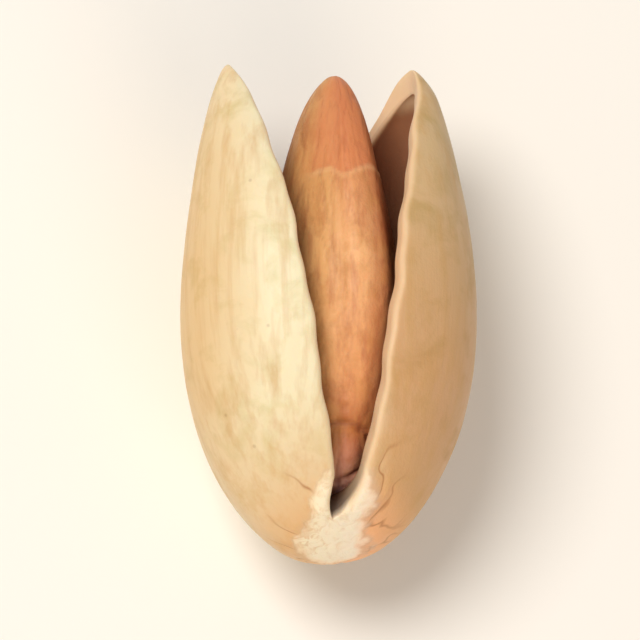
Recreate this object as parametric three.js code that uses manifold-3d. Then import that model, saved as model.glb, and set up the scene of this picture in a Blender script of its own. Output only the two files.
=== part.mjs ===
// A pistachio in its split shell, lying on its back with the split facing up.
// Millimetres. +Y runs from the stalk end to the tips, +X to the right half, +Z up through the long split.
import * as THREE from "three";
import { mergeVertices } from "three/addons/utils/BufferGeometryUtils.js";
import Module from "manifold-3d";

// The closed shell.
const LENGTH = 20;
const HALF_THICKNESS = 5; // across the seam, before the halves part
const UPPER_HEIGHT = 5.15; // axis to the upper seam
const LOWER_HEIGHT = 6.1; // axis to the lower seam
const TIP_RISE = 0.9; // how far the tip stands above the axis
const SEAM_KEEL = 0.12; // how strongly the two halves meet in a ridge, as a share of the half thickness

// The wall.
const SIDE_WALL = 0.9;
const BASE_WALL = 1.6;
const TIP_WALL = 1.0;

// The split: it opens from a straight hinge line that runs from the scar down to the lower seam.
const SPLIT_START = { y: 1.15, z: 2.45 }; // upper end, measured from the stalk end and from the axis
const SPLIT_END = { y: 11, z: -6.1 }; // lower end
const OPENING_DEG = 12.4;
const HINGE_SOFTNESS = 0.6; // how much wider the bend gets away from the seam
const TIP_FLARE = 1.3; // how much further the dried tips curl apart
const FLARE_START = 8; // where that curl begins, from the stalk end
const KERF = 0.12;

// The kernel.
const KERNEL_START = 2.0; // from the shell's stalk end
const KERNEL_LENGTH = 17.5;
const KERNEL_HALF_THICKNESS = 3.35;
const KERNEL_UPPER_HEIGHT = 4.1;
const KERNEL_LOWER_HEIGHT = 4.75;
const KERNEL_TIP_RISE = 1.4;

// Where the stalk came off, and where the shell rests.
const SCAR_SLOPE_DEG = 28; // the scar's face, from upright
const SCAR_DEPTH = 0.4;
const REST_DEPTH = 0.13; // how far the resting spot is worn into the lower side

// Each outline: where it is widest, as a share of the length, and how fully it rounds off towards each end.
const SIDE_OUTLINE = { widest: 0.37, base: 0.44, tip: 0.72 };
const UPPER_OUTLINE = { widest: 0.46, base: 0.5, tip: 0.58 };
const LOWER_OUTLINE = { widest: 0.47, base: 0.5, tip: 0.6 };
const KERNEL_OUTLINE = { widest: 0.4, base: 0.5, tip: 0.62 };

const wasm = await Module();
wasm.setup();

// A share from 0 to 1 along the length to a share of the outline's greatest reach.
function reach(share, { widest, base, tip }) {
  const towardsBase = Math.max(1 - share / widest, 0);
  const towardsTip = Math.max((share - widest) / (1 - widest), 0);
  return (
    Math.pow(Math.max(Math.cos((towardsBase * Math.PI) / 2), 0), base) *
    Math.pow(Math.max(Math.cos((towardsTip * Math.PI) / 2), 0), tip)
  );
}

// An egg-like body with a soft ridge along both seams, from a sphere whose poles become its two ends.
function seedBody({ start, length, side, upper, lower, rise, sideOutline, around, along }) {
  const geometry = new THREE.SphereGeometry(1, around, along);
  const position = geometry.getAttribute("position");
  const point = new THREE.Vector3();
  const ridge = Math.asin(SEAM_KEEL / (1 + SEAM_KEEL));
  for (let i = 0; i < position.count; i++) {
    point.fromBufferAttribute(position, i);
    const share = THREE.MathUtils.clamp((point.y + 1) / 2, 0, 1);
    const turn = Math.atan2(Math.abs(point.x), point.z) / Math.PI; // 0 at the upper seam, 1 at the lower
    const angle = ridge + (Math.PI - 2 * ridge) * turn;
    const halfWidth = side * reach(share, sideOutline);
    const height = point.z > 0 ? upper * reach(share, UPPER_OUTLINE) : lower * reach(share, LOWER_OUTLINE);
    position.setXYZ(
      i,
      Math.sign(point.x) * halfWidth * Math.max((1 + SEAM_KEEL) * Math.sin(angle) - SEAM_KEEL, 0),
      start + length * share,
      (height * Math.cos(angle)) / Math.cos(ridge) + rise * share * share,
    );
  }
  return geometry;
}

function toSolid(geometry) {
  const bare = geometry.clone();
  bare.deleteAttribute("normal");
  bare.deleteAttribute("uv");
  const merged = mergeVertices(bare, 1e-4);
  return new wasm.Manifold(
    new wasm.Mesh({
      numProp: 3,
      vertProperties: merged.getAttribute("position").array,
      triVerts: new Uint32Array(merged.index.array),
    }),
  );
}

function toGeometry(solid) {
  const mesh = solid.getMesh();
  const geometry = new THREE.BufferGeometry();
  geometry.setAttribute("position", new THREE.BufferAttribute(new Float32Array(mesh.vertProperties), 3));
  geometry.setIndex(new THREE.BufferAttribute(new Uint32Array(mesh.triVerts), 1));
  return geometry;
}

// A block with one face on the plane through a point of the YZ plane, reaching out along that plane's normal.
function blockBeyond(point, normal, width) {
  const size = 2 * LENGTH;
  const block = new THREE.BoxGeometry(width, size, size);
  block.translate(0, size / 2, 0);
  block.rotateX(Math.atan2(normal.z, normal.y));
  block.translate(0, point.y, point.z);
  return toSolid(block);
}

// The unit normal of the hinge line, in the YZ plane, pointing towards the tips.
const hingeRun = { y: SPLIT_END.y - SPLIT_START.y, z: SPLIT_END.z - SPLIT_START.z };
const hingeLength = Math.hypot(hingeRun.y, hingeRun.z);
const hingeNormal = { y: -hingeRun.z / hingeLength, z: hingeRun.y / hingeLength };

// Moves both halves apart beyond the hinge line: sharply at the seam, and softly on the flanks.
function openHalves(geometry) {
  const position = geometry.getAttribute("position");
  const spread = Math.tan(THREE.MathUtils.degToRad(OPENING_DEG));
  for (let i = 0; i < position.count; i++) {
    const x = position.getX(i);
    const beyond =
      (position.getY(i) - SPLIT_START.y) * hingeNormal.y + (position.getZ(i) - SPLIT_START.z) * hingeNormal.z;
    const parted = (beyond + Math.hypot(beyond, HINGE_SOFTNESS * x)) / 2;
    const curl = Math.max((position.getY(i) - FLARE_START) / (LENGTH - FLARE_START), 0);
    position.setX(i, x + Math.sign(x) * (spread * parted + TIP_FLARE * curl * curl * curl));
  }
  return geometry;
}

function makeShell() {
  const outside = seedBody({
    start: 0,
    length: LENGTH,
    side: HALF_THICKNESS,
    upper: UPPER_HEIGHT,
    lower: LOWER_HEIGHT,
    rise: TIP_RISE,
    sideOutline: SIDE_OUTLINE,
    around: 48,
    along: 34,
  });
  const inside = seedBody({
    start: BASE_WALL,
    length: LENGTH - BASE_WALL - TIP_WALL,
    side: HALF_THICKNESS - SIDE_WALL,
    upper: UPPER_HEIGHT - SIDE_WALL,
    lower: LOWER_HEIGHT - SIDE_WALL,
    rise: TIP_RISE,
    sideOutline: SIDE_OUTLINE,
    around: 36,
    along: 26,
  });
  const split = blockBeyond(SPLIT_START, hingeNormal, KERF);
  const closed = toSolid(outside).subtract(toSolid(inside)).subtract(split);
  const open = toSolid(openHalves(toGeometry(closed)));

  const slope = THREE.MathUtils.degToRad(SCAR_SLOPE_DEG);
  const outward = { y: -Math.cos(slope), z: Math.sin(slope) };
  const furthest = Math.max(...cornersAlong(outside, outward));
  const scarPoint = { y: outward.y * (furthest - SCAR_DEPTH), z: outward.z * (furthest - SCAR_DEPTH) };
  const scarred = open.subtract(blockBeyond(scarPoint, outward, LENGTH));

  const lowest = Math.min(...cornersAlong(outside, { y: 0, z: 1 }));
  const ground = { y: 0, z: lowest + REST_DEPTH };
  return toGeometry(scarred.subtract(blockBeyond(ground, { y: 0, z: -1 }, LENGTH)));
}

// How far each of a geometry's points lies along a direction in the YZ plane.
function cornersAlong(geometry, direction) {
  const position = geometry.getAttribute("position");
  return Array.from(
    { length: position.count },
    (_, i) => position.getY(i) * direction.y + position.getZ(i) * direction.z,
  );
}

function makeKernel() {
  const body = seedBody({
    start: KERNEL_START,
    length: KERNEL_LENGTH,
    side: KERNEL_HALF_THICKNESS,
    upper: KERNEL_UPPER_HEIGHT,
    lower: KERNEL_LOWER_HEIGHT,
    rise: KERNEL_TIP_RISE,
    sideOutline: KERNEL_OUTLINE,
    around: 32,
    along: 26,
  });
  return toGeometry(toSolid(body));
}

const shell = new THREE.Mesh(
  makeShell(),
  new THREE.MeshStandardMaterial({ color: 0xe6cfa0, roughness: 0.6, metalness: 0 }),
);
shell.name = "shell";

const kernel = new THREE.Mesh(
  makeKernel(),
  new THREE.MeshStandardMaterial({ color: 0xc77a4c, roughness: 0.5, metalness: 0 }),
);
kernel.name = "kernel";

const nut = new THREE.Group();
nut.add(shell, kernel);

// The frame's origin is under the middle of the nut, on the surface it lies on.
const bounds = new THREE.Box3().setFromObject(nut);
const middle = bounds.getCenter(new THREE.Vector3());
nut.position.set(-middle.x, -middle.y, -bounds.min.z);

export default nut;
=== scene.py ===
import math

import bpy
import numpy as np
from mathutils import Matrix, Vector


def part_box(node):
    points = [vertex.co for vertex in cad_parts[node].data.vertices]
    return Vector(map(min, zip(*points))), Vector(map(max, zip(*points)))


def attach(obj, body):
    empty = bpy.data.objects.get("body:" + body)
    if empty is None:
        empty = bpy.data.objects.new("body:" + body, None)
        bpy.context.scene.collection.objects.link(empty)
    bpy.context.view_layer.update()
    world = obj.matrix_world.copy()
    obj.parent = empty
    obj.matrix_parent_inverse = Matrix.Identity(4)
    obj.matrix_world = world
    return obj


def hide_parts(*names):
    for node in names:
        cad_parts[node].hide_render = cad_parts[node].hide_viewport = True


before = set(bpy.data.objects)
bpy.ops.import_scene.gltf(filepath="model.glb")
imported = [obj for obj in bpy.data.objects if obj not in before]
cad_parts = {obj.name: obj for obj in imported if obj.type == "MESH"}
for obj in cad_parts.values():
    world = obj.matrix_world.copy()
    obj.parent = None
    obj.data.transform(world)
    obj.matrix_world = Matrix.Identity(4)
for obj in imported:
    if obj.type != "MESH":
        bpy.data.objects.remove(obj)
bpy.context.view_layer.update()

# ------------------------------------------------------------ shell
# A hard woody nutshell: one growth of two halves, still joined at the stalk end and along half of the lower
# seam, and dried open over the tip. The wall is about 0.9 mm thick and thicker round the stalk.

MM = 0.001
shell_low, shell_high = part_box("shell")

# Sizes in mm, with y measured from the stalk end.
SHELL_LENGTH = 20.0
SHELL_HALF_THICKNESS = 5.0
SHELL_UPPER = 5.15
SHELL_LOWER = 6.1
SHELL_TIP_RISE = 0.9
SEAM_KEEL = 0.12
SIDE_WALL = 0.9
BASE_WALL = 1.25
TIP_WALL = 1.0
SPLIT_START = 1.15
SPLIT_END = 10.7
OPENING = math.radians(12.4)
HINGE_SOFTNESS = 0.6
TIP_FLARE = 1.3
FLARE_START = 8.0
RIM_ROUND = 0.26
HOOK = 0.2
BLUNT = 0.18
UNEVEN = 0.3
WANDER = 0.4
REST_DEPTH = 0.13
SCAR_SLOPE = math.radians(28)
SCAR_DEPTH = 0.4
SCAR_FLATNESS = 0.6
SCAR_RADIUS = 1.42
SCAR_ARM_RADIUS = 0.55
SCAR_ARM_END = (0, 2.5, 4.0)

# Each outline: the share of the length where it is widest, and its fullness towards the base and the tip.
SIDE_OUTLINE = (0.37, 0.44, 0.72)
UPPER_OUTLINE = (0.46, 0.5, 0.58)
LOWER_OUTLINE = (0.47, 0.5, 0.6)
GIRTH_OUTLINE = (0.4, 0.5, 0.62)

# Faces along the nut, across the outer and the inner face of a half, and across its rim.
ROWS = 220
ACROSS_OUTSIDE = 96
ACROSS_INSIDE = 44
RIM_STEPS = 4
SEAM_CROWDING = 1.7


def fullness(share, widest, base, tip):
    """How far an outline stands out at a share of the length: 0 at both ends, 1 where it is widest."""
    to_base = np.clip(1 - share / widest, 0, 1)
    to_tip = np.clip((share - widest) / (1 - widest), 0, 1)
    base_part = np.cos(to_base * np.pi / 2).clip(0) ** base
    return base_part * np.cos(to_tip * np.pi / 2).clip(0) ** tip


def ease(value):
    """A soft step from 0 to 1."""
    value = np.clip(value, 0, 1)
    return value * value * (3 - 2 * value)


def closed_wall(share, turn, side_wall, base_wall, tip_wall):
    """Points of the closed right half, from its upper seam (turn 0) to its lower seam (turn 1), in mm."""
    ridge = math.asin(SEAM_KEEL / (1 + SEAM_KEEL))
    angle = ridge + (math.pi - 2 * ridge) * turn
    out = ((1 + SEAM_KEEL) * np.sin(angle) - SEAM_KEEL).clip(0)
    upper = (SHELL_UPPER - side_wall) * fullness(share, *UPPER_OUTLINE)
    lower = (SHELL_LOWER - side_wall) * fullness(share, *LOWER_OUTLINE)
    height = np.where(turn < 0.5, upper, lower) * np.cos(angle) / math.cos(ridge)
    x = (SHELL_HALF_THICKNESS - side_wall) * fullness(share, *SIDE_OUTLINE) * out
    y = base_wall + (SHELL_LENGTH - base_wall - tip_wall) * share + 0 * turn
    return np.stack([x, y, height + SHELL_TIP_RISE * share**2], -1)


def crowd_to_seams(count):
    """Places from seam to seam, set closer near both seams, where the rims are rounded."""
    even = np.linspace(0, 1, count + 1)
    crowded = 0.5 * (2 * even) ** SEAM_CROWDING
    return np.where(even < 0.5, crowded, 1 - 0.5 * (2 - 2 * even) ** SEAM_CROWDING)


# Each row is a loop round the wall of one half: outer face, lower rim, inner face, upper rim.
rim_depths = np.arange(1, RIM_STEPS + 1) / (RIM_STEPS + 1)
turn = np.concatenate([crowd_to_seams(ACROSS_OUTSIDE), np.ones(RIM_STEPS),
                       crowd_to_seams(ACROSS_INSIDE)[::-1], np.zeros(RIM_STEPS)])[None, :]
depth = np.concatenate([np.zeros(ACROSS_OUTSIDE + 1), rim_depths,
                        np.ones(ACROSS_INSIDE + 1), rim_depths[::-1]])[None, :]
share = ((1 - np.cos(np.pi * np.arange(ROWS + 1) / ROWS)) / 2)[:, None]
outer = closed_wall(share, turn, 0, 0, 0)
inner = closed_wall(share, turn, SIDE_WALL, BASE_WALL, TIP_WALL)
wall = np.linalg.norm(inner - outer, axis=-1)

# The split runs beyond a straight hinge line between the two seams.
upper_seam = outer[:, 0]
lower_seam = outer[:, ACROSS_OUTSIDE]
start_row = int(np.argmin(abs(upper_seam[:, 1] - SPLIT_START)))
end_row = int(np.argmin(abs(lower_seam[:, 1] - SPLIT_END)))
hinge = lower_seam[end_row] - upper_seam[start_row]
away = np.array([0, -hinge[2], hinge[1]]) / np.hypot(hinge[1], hinge[2])


def beyond_hinge(points):
    """How far points lie beyond the hinge line, towards the tip and the upper side, in mm."""
    return (points - upper_seam[start_row]) @ away


# The rims' edges are rounded where the halves have parted, and less so where the nut is slender. The paler
# band of the break is narrow, and takes in the last of the tip.
FULL_ROUND_GIRTH = 5.0
LEAST_ROUND = 0.2
MOST_SET_IN = 0.45
PARTED_OVER = 0.9
RIM_BAND = 0.15
TIP_BAND_START = 19.2
TIP_BAND_WIDTH = 0.6
TIP_BAND_SHARE = 0.7
girth = np.pi * fullness(share, *GIRTH_OUTLINE) * (SHELL_HALF_THICKNESS + SHELL_UPPER) / 2
corner = RIM_ROUND * np.clip(girth / FULL_ROUND_GIRTH, LEAST_ROUND, 1)


def worn_edge(gap):
    """How deep a rounded edge lies below a sharp one, at a gap from it, in mm."""
    nearness = 1 - np.clip(gap / corner, 0, 1)
    return corner * (1 - np.sqrt(1 - nearness**2))


from_upper = turn * girth
from_lower = (1 - turn) * girth
upper_open = ease(beyond_hinge(upper_seam) / PARTED_OVER)[:, None]
lower_open = ease(beyond_hinge(lower_seam) / PARTED_OVER)[:, None]
set_in = (upper_open * worn_edge(from_upper) + lower_open * worn_edge(from_lower)) / wall
points = outer + (inner - outer) * (depth + (1 - 2 * depth) * np.clip(set_in, 0, MOST_SET_IN))[..., None]
rim = np.maximum(upper_open * np.exp(-((from_upper / RIM_BAND) ** 2)),
                 lower_open * np.exp(-((from_lower / RIM_BAND) ** 2)))
rim = np.maximum(rim, TIP_BAND_SHARE * ease((outer[..., 1] - TIP_BAND_START) / TIP_BAND_WIDTH))

# Opening the halves, the dried curl of their tips, and the blunt end of the split by the stalk.
TILT_OVER = 1.5
UPPER_BAND = 1.6
BLUNT_START = 0.4
BLUNT_REACH = 4.0
reach = beyond_hinge(outer)
parted = (reach + np.hypot(reach, HINGE_SOFTNESS * outer[..., 0])) / 2
tilt = (beyond_hinge(points) - reach) * ease(reach / TILT_OVER)
curl = np.clip((outer[..., 1] - FLARE_START) / (SHELL_LENGTH - FLARE_START), 0, 1) ** 3
near_top = np.exp(-((from_upper / UPPER_BAND) ** 2))
past = reach.clip(0)
blunt = BLUNT * (1 - np.exp(-past / BLUNT_START)) * np.exp(-past / BLUNT_REACH) * near_top
points[..., 0] += math.tan(OPENING) * (parted + tilt) + TIP_FLARE * curl * ease(parted) + blunt

# The stalk scar is a shallow flat at the stalk end, and the nut rests on a small worn spot.
scar_out = np.array([0, -math.cos(SCAR_SLOPE), math.sin(SCAR_SLOPE)])
scar_reach = (outer @ scar_out).max() - SCAR_DEPTH
furthest = outer.reshape(-1, 3)[(outer @ scar_out).argmax()]
scar_centre = furthest - scar_out * (furthest @ scar_out - scar_reach)
proud = np.clip(points @ scar_out - scar_reach, 0, None) * (depth < 0.5)
points -= scar_out * (SCAR_FLATNESS * proud)[..., None]
ground = outer[..., 2].min() + REST_DEPTH
points[..., 2] = np.maximum(points[..., 2], ground)

# The scar runs a little way up both sides of the split, narrowing as it goes.
arm = np.array(SCAR_ARM_END) - scar_centre
arm_place = np.clip((outer - scar_centre) @ arm / (arm @ arm), 0, 1)
arm_radius = SCAR_RADIUS + (SCAR_ARM_RADIUS - SCAR_RADIUS) * arm_place
scar_gap = np.linalg.norm(outer - scar_centre - arm_place[..., None] * arm, axis=-1) - arm_radius

# The broken edges are slightly wavy, each in its own way, with a long and a short wave.
LONG_WAVE = 0.05
SHORT_WAVE = 0.03
LONG_PACE = 1.3
SHORT_PACE = 3.1
WAVES_START = 2.0
LEFT_PHASE = 2.9
RIGHT_PHASE = 0.7


def ripple(phase):
    """The waviness of a half's broken edge, in mm."""
    along = outer[..., 1]
    wave = LONG_WAVE * np.sin(LONG_PACE * along + phase)
    wave = wave + SHORT_WAVE * np.sin(SHORT_PACE * along + 2 * phase)
    return wave * (1 - np.exp(-past / WAVES_START)) * near_top


# The split strays off the middle by the stalk. There the right half stands off a little further, and its tip
# hooks back in.
WANDER_CENTRE = 1.1
UNEVEN_REACH = 3.0
HOOK_START = 18.4
HOOK_LENGTH = 1.6
HOOK_BEND = 1.5
wander = WANDER * np.exp(-((outer[..., 1] - WANDER_CENTRE) ** 2)) * near_top
uneven = UNEVEN * (1 - np.exp(-past / BLUNT_START)) * np.exp(-past / UNEVEN_REACH) * near_top
left_points = points * (-1, 1, 1)
left_points[..., 0] += ripple(LEFT_PHASE) - wander
points[..., 0] += uneven - wander + ripple(RIGHT_PHASE)
points[..., 0] -= HOOK * ease((points[..., 1] - HOOK_START) / HOOK_LENGTH) ** HOOK_BEND

# The broken wall is painted dark as shade where the split ends, from just under the outer face inwards.
SPLIT_SHADE_DEPTH = 0.35
SPLIT_SHADE_REACH = 1.5
SPLIT_SHADE_BAND = 2.5
split_shade_spread = np.exp(-((past / SPLIT_SHADE_REACH) ** 2)) * np.exp(-((from_upper / SPLIT_SHADE_BAND) ** 2))
split_end_shade = ease(depth / SPLIT_SHADE_DEPTH) * split_shade_spread

# Two halves, sewn together wherever they still meet.
SEWING_GAP = 2e-5
columns = turn.size
index = np.arange((ROWS + 1) * columns).reshape(ROWS + 1, columns)
following = np.roll(index, -1, axis=1)
quads = np.stack([index[:-1], following[:-1], following[1:], index[1:]], -1)
kept = np.ones((ROWS, columns), bool)
lower_rim = slice(ACROSS_OUTSIDE, ACROSS_OUTSIDE + RIM_STEPS + 1)
upper_rim = slice(columns - RIM_STEPS - 1, columns)
kept[:end_row, lower_rim] = False
kept[:start_row, upper_rim] = False
right_faces = quads[kept]
all_points = np.concatenate([points.reshape(-1, 3), left_points.reshape(-1, 3)])
all_faces = np.concatenate([right_faces, right_faces[:, ::-1] + index.size])
_, first, sewn = np.unique(np.round(all_points / SEWING_GAP).astype(np.int64), axis=0,
                           return_index=True, return_inverse=True)
faces = []
for face in sewn.reshape(-1)[all_faces].tolist():
    corners = [a for k, a in enumerate(face) if a != face[k - 1]]
    if len(set(corners)) > 2:
        faces.append(corners)
used = np.unique([a for face in faces for a in face])
renumber = np.zeros(len(first), int)
renumber[used] = np.arange(len(used))
source = first[used]
placed = all_points[source] + (0, shell_high.y / MM - SHELL_LENGTH, shell_low.z / MM - ground)

shell_mesh = bpy.data.meshes.new("shell_halves")
shell_mesh.from_pydata(placed * MM, [], [[int(renumber[a]) for a in face] for face in faces])
shell_mesh.shade_smooth()

# Round the scar, each point knows which way the scar lies and how far off it is, for the folds that fan out.
from_scar = all_points[source] - scar_centre
flat_from_scar = from_scar - (from_scar @ scar_out)[:, None] * scar_out
distance = np.linalg.norm(from_scar, axis=1)
outward = flat_from_scar / np.linalg.norm(flat_from_scar, axis=1).clip(1e-6)[:, None]
across_scar = np.cross(scar_out, (1, 0, 0))
fan = np.stack([outward[:, 0], outward @ across_scar, distance], 1)


def both_halves(values):
    """A value for each point of the right half, for the sewn shell's points."""
    return np.tile(np.broadcast_to(values, (ROWS + 1, columns)).reshape(-1), 2)[source]


for name, values in (("inside", both_halves(depth)), ("rim", both_halves(rim)),
                     ("scar_gap", both_halves(scar_gap)), ("split_end_shade", both_halves(split_end_shade))):
    layer = shell_mesh.attributes.new(name, "FLOAT", "POINT")
    layer.data.foreach_set("value", values.astype(np.float32))
layer = shell_mesh.attributes.new("scar_fan", "FLOAT_VECTOR", "POINT")
layer.data.foreach_set("vector", fan.astype(np.float32).ravel())

shell = bpy.data.objects.new("pistachio_shell", shell_mesh)
bpy.context.scene.collection.objects.link(shell)


def add(tree, kind, links=None, **settings):
    """Adds a node. links maps an input to a value, a node (its first output) or a (node, output) pair.

    A Map Range reads inputs 1 to 2 and gives 3 to 4, or 0 to 1. A colour Mix takes its two colours at inputs
    6 and 7, and gives the result at output 2.
    """
    node = tree.nodes.new(kind)
    for name, value in settings.items():
        setattr(node, name, value)
    for key, value in (links or {}).items():
        if isinstance(value, bpy.types.Node):
            value = value.outputs[0]
        elif isinstance(value, tuple) and isinstance(value[0], bpy.types.Node):
            value = value[0].outputs[value[1]]
        if isinstance(value, bpy.types.NodeSocket):
            tree.links.new(value, node.inputs[key])
        else:
            node.inputs[key].default_value = value
    return node


def linear(code):
    """An sRGB colour code as linear red, green and blue, with alpha."""
    shares = [int(code[i:i + 2], 16) / 255 for i in (1, 3, 5)]
    return tuple(s / 12.92 if s <= 0.04045 else ((s + 0.055) / 1.055) ** 2.4 for s in shares) + (1.0,)


# Clean, dry pistachio shell: sun-dried and unpolished, so it is matte with a faint satin on the swell, cream
# with tan and grey-green clouds, thin brown grain lines, and an orange-brown stain in the folds at the stalk.
shell_skin = bpy.data.materials.new("clean_dry_nutshell")
shell_skin.use_nodes = True
skin = shell_skin.node_tree
skin.nodes.clear()
where = add(skin, "ShaderNodeTexCoord")
inside = add(skin, "ShaderNodeAttribute", attribute_name="inside")
rim_mark = add(skin, "ShaderNodeAttribute", attribute_name="rim")
scar_fan = add(skin, "ShaderNodeAttribute", attribute_name="scar_fan")
scar_mark = add(skin, "ShaderNodeAttribute", attribute_name="scar")
crease_mark = add(skin, "ShaderNodeAttribute", attribute_name="crease")
split_shade_mark = add(skin, "ShaderNodeAttribute", attribute_name="split_end_shade")

clouds = add(
    skin, "ShaderNodeTexNoise",
    {"Vector": (where, "Object"), "Scale": 1 / (4.2 * MM), "Detail": 4.0, "Roughness": 0.55})
cloud_share = add(skin, "ShaderNodeMapRange", {0: clouds, 1: 0.4, 2: 0.68, 3: 0.0, 4: 0.6})
body = add(
    skin, "ShaderNodeMix", {0: cloud_share, 6: linear("#efe6c6"), 7: linear("#ead9b0")}, data_type="RGBA")
# The right half is painted tan-brown as shade, for light from the left, turning more orange towards the
# stalk.
sides = add(skin, "ShaderNodeSeparateXYZ", {0: (where, "Object")})
side_shade_warmth = add(skin, "ShaderNodeMapRange", {0: (sides, 1), 1: 6 * MM, 2: -3 * MM})
side_shade_colour = add(
    skin, "ShaderNodeMix", {0: side_shade_warmth, 6: linear("#c99f68"), 7: linear("#c98647")}, data_type="RGBA")
shaded_side_share = add(skin, "ShaderNodeMapRange", {0: (sides, 0), 1: -0.3 * MM, 2: 1.8 * MM, 3: 0.0, 4: 0.7})
shaded_half = add(skin, "ShaderNodeMix", {0: shaded_side_share, 6: (body, 2), 7: (side_shade_colour, 2)}, data_type="RGBA")
# The far edge of the left half turns tan: partly its own colour, partly painted shade along that edge.
far_edge_tan_and_shade = add(skin, "ShaderNodeMapRange", {0: (sides, 0), 1: -3.2 * MM, 2: -5.6 * MM, 3: 0.0, 4: 0.7})
sided = add(skin, "ShaderNodeMix", {0: far_edge_tan_and_shade, 6: (shaded_half, 2), 7: linear("#dcae6c")}, data_type="RGBA")

mottle = add(
    skin, "ShaderNodeTexNoise",
    {"Vector": (where, "Object"), "Scale": 1 / (1.7 * MM), "Detail": 5.0, "Roughness": 0.6,
        "Distortion": 0.4})
mottle_share = add(skin, "ShaderNodeMapRange", {0: mottle, 1: 0.5, 2: 0.72, 3: 0.0, 4: 0.75})
mottled = add(
    skin, "ShaderNodeMix", {0: mottle_share, 6: (sided, 2), 7: linear("#e6e3c8")}, data_type="RGBA",
    blend_type="MULTIPLY")

# Grain lines run the length of the nut, about 0.5 mm apart and 6 mm long.
GRAIN_PER_MM = (1.9, 0.17, 1.9)
grain_scale = tuple(lines / MM for lines in GRAIN_PER_MM)
lengthwise = add(skin, "ShaderNodeMapping", {"Vector": (where, "Object"), "Scale": grain_scale})
grain = add(skin, "ShaderNodeTexNoise", {"Vector": lengthwise, "Scale": 1.0, "Detail": 3.0, "Roughness": 0.6})
grain_share = add(skin, "ShaderNodeMapRange", {0: grain, 1: 0.46, 2: 0.72, 3: 0.0, 4: 0.5})
grained = add(
    skin, "ShaderNodeMix", {0: grain_share, 6: (mottled, 2), 7: linear("#cca064")}, data_type="RGBA")

# Pin-head specks where the husk stuck, in about one in four of the cells 1.5 mm wide.
speck_cells = add(skin, "ShaderNodeTexVoronoi", {"Vector": (where, "Object"), "Scale": 1 / (1.5 * MM)})
speck_size = add(skin, "ShaderNodeMapRange", {0: (speck_cells, "Distance"), 1: 0.03, 2: 0.07, 3: 1.0, 4: 0.0})
speck_pick = add(skin, "ShaderNodeMath", {0: (speck_cells, "Color"), 1: 0.72}, operation="GREATER_THAN")
speck = add(skin, "ShaderNodeMath", {0: speck_size, 1: speck_pick}, operation="MULTIPLY")
speck_faint = add(skin, "ShaderNodeMath", {0: speck, 1: 0.3}, operation="MULTIPLY")
specked = add(
    skin, "ShaderNodeMix", {0: speck_faint, 6: (grained, 2), 7: linear("#8d5f38")}, data_type="RGBA")

# The stain round the stalk: a broad warm blush, and dark lines in the folds. The folds are narrow valleys of
# a noise that changes fast round the scar and slowly away from it.
FOLDS_PER_MM = (1.5, 1.5, 0.3)
FOLD_SEED = 1.3
FOLD_BEND = 0.25
scar_parts = add(skin, "ShaderNodeSeparateXYZ", {0: (scar_fan, "Vector")})
base_tan = add(skin, "ShaderNodeMapRange", {0: (scar_parts, 2), 1: 1.6, 2: 6.5, 3: 0.85, 4: 0.0})
base_tanned = add(
    skin, "ShaderNodeMix", {0: base_tan, 6: (specked, 2), 7: linear("#dbab70")}, data_type="RGBA")
blush = add(skin, "ShaderNodeMapRange", {0: (scar_parts, 2), 1: 1.5, 2: 3.6, 3: 1.0, 4: 0.0})
blush_side = add(skin, "ShaderNodeMapRange", {0: (sides, 0), 1: -1.0 * MM, 2: 1.0 * MM, 3: 0.15, 4: 1.0})
blush_share = add(skin, "ShaderNodeMath", {0: blush, 1: blush_side}, operation="MULTIPLY")
blushed = add(
    skin, "ShaderNodeMix", {0: blush_share, 6: (base_tanned, 2), 7: linear("#f9bb88")}, data_type="RGBA")
crease_map = add(skin, "ShaderNodeMapping", {"Vector": (scar_fan, "Vector"), "Scale": FOLDS_PER_MM})
crease_noise = add(
    skin, "ShaderNodeTexNoise",
    {"Vector": crease_map, "W": FOLD_SEED, "Scale": 1.0, "Detail": 2.0, "Distortion": FOLD_BEND},
    noise_dimensions="4D")
crease_centre = add(skin, "ShaderNodeMath", {0: crease_noise, 1: 0.5}, operation="SUBTRACT")
crease_gap = add(skin, "ShaderNodeMath", {0: crease_centre}, operation="ABSOLUTE")
crease_line = add(skin, "ShaderNodeMapRange", {0: crease_gap, 1: 0.0, 2: 0.014, 3: 0.75, 4: 0.0})
fold_share = add(skin, "ShaderNodeMath", {0: (crease_mark, "Fac"), 1: crease_line}, operation="MULTIPLY")
folded = add(skin, "ShaderNodeMix", {0: fold_share, 6: (blushed, 2), 7: linear("#a8662f")}, data_type="RGBA")

# The scar itself: pale dry fibre.
fibre = add(
    skin, "ShaderNodeTexNoise",
    {"Vector": (where, "Object"), "Scale": 1 / (0.55 * MM), "Detail": 6.0, "Roughness": 0.6,
        "Distortion": 1.6})
fibre_colour = add(skin, "ShaderNodeValToRGB", {0: fibre})
fibre_colour.color_ramp.elements[0].position = 0.3
fibre_colour.color_ramp.elements[0].color = linear("#e6c79c")
fibre_colour.color_ramp.elements[1].position = 0.52
fibre_colour.color_ramp.elements[1].color = linear("#fdeed0")
pink_side = add(skin, "ShaderNodeMapRange", {0: (sides, 0), 1: -1.2 * MM, 2: 1.2 * MM, 3: 0.0, 4: 0.8})
scar_tint = add(
    skin, "ShaderNodeMix", {0: pink_side, 6: fibre_colour, 7: linear("#fff1e0")}, data_type="RGBA")
outline_gap = add(skin, "ShaderNodeMath", {0: (scar_mark, "Fac"), 1: 0.3}, operation="SUBTRACT")
outline_near = add(skin, "ShaderNodeMath", {0: outline_gap}, operation="ABSOLUTE")
outline_line = add(skin, "ShaderNodeMapRange", {0: outline_near, 1: 0.0, 2: 0.3, 3: 0.4, 4: 0.0})
outline_broken = add(skin, "ShaderNodeMath", {0: outline_line, 1: clouds}, operation="MULTIPLY")
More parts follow.
